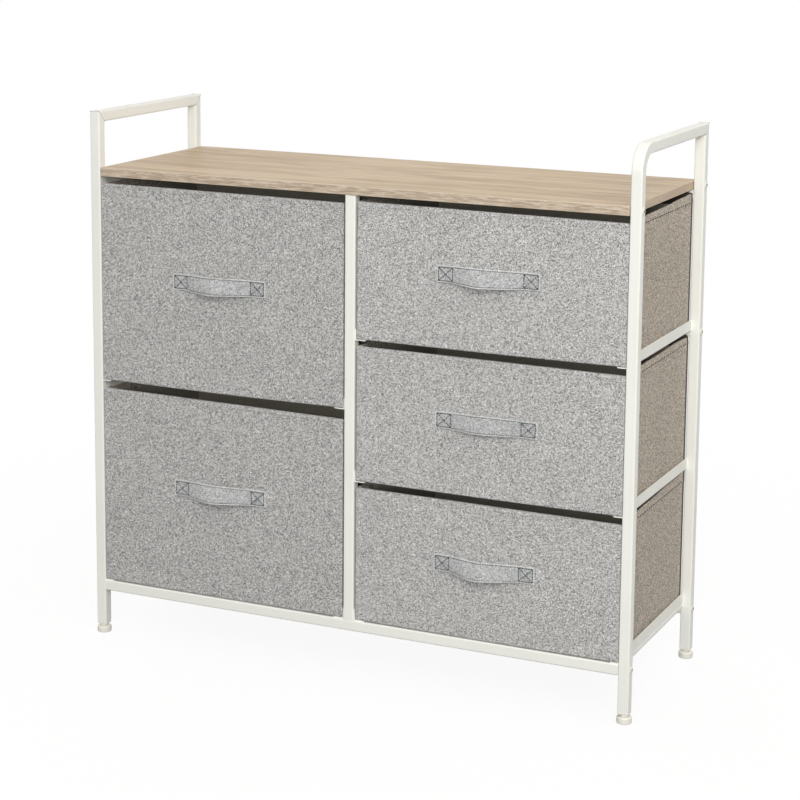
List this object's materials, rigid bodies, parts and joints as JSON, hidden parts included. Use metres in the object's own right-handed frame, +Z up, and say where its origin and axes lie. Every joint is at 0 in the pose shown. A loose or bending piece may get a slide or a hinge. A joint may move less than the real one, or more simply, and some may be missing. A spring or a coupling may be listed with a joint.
{
  "type": "fabric drawer dresser",
  "caption": "Wide low dresser: white square-tube frame with hand-hold ends and levelling feet, wood top, and grey fabric drawers with strap pulls on angle runners.",
  "frame": {"origin": "bottom centre of the whole piece, on the floor under its feet", "axes": "+Z up, +X to the viewer's right when facing the drawers, -Y towards the viewer, the way that the drawers pull out"},
  "size_m": [0.805, 0.2924, 0.75],
  "materials": {
    "frame_paint": "cream white powder coat, satin",
    "top_wood": "light oak grain, semi-gloss",
    "drawer_fabric": "grey heather linen-look weave, matt",
    "strap_fabric": "grey heather weave, folded and box stitched",
    "base_board": "hardboard covered in grey fleece, matt",
    "foot_plastic": "warm white moulded plastic",
    "bolt_paint": "cream white painted button head with a bare dark socket"
  },
  "bodies": {
    "frame": {"left_front_post": "frame_paint", "left_back_post": "frame_paint", "left_handle_bar": "frame_paint", "left_middle_crossbar": "frame_paint", "left_top_crossbar": "frame_paint", "right_front_post_and_handle_bar": "frame_paint", "right_back_post": "frame_paint", "centre_front_post": "frame_paint", "centre_back_post": "frame_paint", "bottom_front_rail": "frame_paint", "bottom_back_rail": "frame_paint", "middle_back_rail": "frame_paint", "top_back_rail": "frame_paint", "left_bottom_side_bar": "frame_paint", "right_bottom_side_bar": "frame_paint", "top_panel": "top_wood", "left_lower_inner_runner": "frame_paint", "left_lower_outer_runner": "frame_paint", "left_upper_inner_runner": "frame_paint", "left_upper_outer_runner": "frame_paint", "right_lower_inner_runner": "frame_paint", "right_lower_outer_runner": "frame_paint", "right_middle_inner_runner": "frame_paint", "right_middle_outer_runner": "frame_paint", "right_upper_inner_runner": "frame_paint", "right_upper_outer_runner": "frame_paint", "left_front_post_plug": "foot_plastic", "left_back_post_plug": "foot_plastic", "right_front_post_plug": "foot_plastic", "right_back_post_plug": "foot_plastic", "left_front_bottom_bolt": "bolt_paint", "left_front_top_bolt": "bolt_paint", "left_back_bottom_bolt": "bolt_paint", "left_back_middle_bolt": "bolt_paint", "left_back_top_bolt": "bolt_paint", "right_front_bottom_bolt": "bolt_paint", "right_front_top_bolt": "bolt_paint", "right_back_bottom_bolt": "bolt_paint", "right_back_middle_bolt": "bolt_paint", "right_back_top_bolt": "bolt_paint"},
    "left_lower_drawer": {"left_lower_drawer_box": "drawer_fabric", "left_lower_drawer_base_board": "base_board", "left_lower_drawer_strap": "strap_fabric"},
    "left_upper_drawer": {"left_upper_drawer_box": "drawer_fabric", "left_upper_drawer_base_board": "base_board", "left_upper_drawer_strap": "strap_fabric"},
    "right_lower_drawer": {"right_lower_drawer_box": "drawer_fabric", "right_lower_drawer_base_board": "base_board", "right_lower_drawer_strap": "strap_fabric"},
    "right_middle_drawer": {"right_middle_drawer_box": "drawer_fabric", "right_middle_drawer_base_board": "base_board", "right_middle_drawer_strap": "strap_fabric"},
    "right_upper_drawer": {"right_upper_drawer_box": "drawer_fabric", "right_upper_drawer_base_board": "base_board", "right_upper_drawer_strap": "strap_fabric"},
    "left_front_foot": {"left_front_foot": "foot_plastic"},
    "left_back_foot": {"left_back_foot": "foot_plastic"},
    "right_front_foot": {"right_front_foot": "foot_plastic"},
    "right_back_foot": {"right_back_foot": "foot_plastic"}
  },
  "joints": [
    {"name": "left_lower_drawer_slide", "type": "slide", "parent": "frame", "child": "left_lower_drawer", "axis": [0, -1, 0], "range_m": [0, 0.19]},
    {"name": "left_upper_drawer_slide", "type": "slide", "parent": "frame", "child": "left_upper_drawer", "axis": [0, -1, 0], "range_m": [0, 0.19]},
    {"name": "right_lower_drawer_slide", "type": "slide", "parent": "frame", "child": "right_lower_drawer", "axis": [0, -1, 0], "range_m": [0, 0.19]},
    {"name": "right_middle_drawer_slide", "type": "slide", "parent": "frame", "child": "right_middle_drawer", "axis": [0, -1, 0], "range_m": [0, 0.19]},
    {"name": "right_upper_drawer_slide", "type": "slide", "parent": "frame", "child": "right_upper_drawer", "axis": [0, -1, 0], "range_m": [0, 0.19]},
    {"name": "left_front_foot_turn", "type": "hinge", "parent": "frame", "child": "left_front_foot", "pos_m": [-0.3925, -0.1288, 0.0125], "axis": [0, 0, 1], "range_deg": [0, 1080]},
    {"name": "left_back_foot_turn", "type": "hinge", "parent": "frame", "child": "left_back_foot", "pos_m": [-0.3925, 0.1362, 0.0125], "axis": [0, 0, 1], "range_deg": [0, 1080]},
    {"name": "right_front_foot_turn", "type": "hinge", "parent": "frame", "child": "right_front_foot", "pos_m": [0.3925, -0.1288, 0.0125], "axis": [0, 0, 1], "range_deg": [0, 1080]},
    {"name": "right_back_foot_turn", "type": "hinge", "parent": "frame", "child": "right_back_foot", "pos_m": [0.3925, 0.1362, 0.0125], "axis": [0, 0, 1], "range_deg": [0, 1080]}
  ]
}
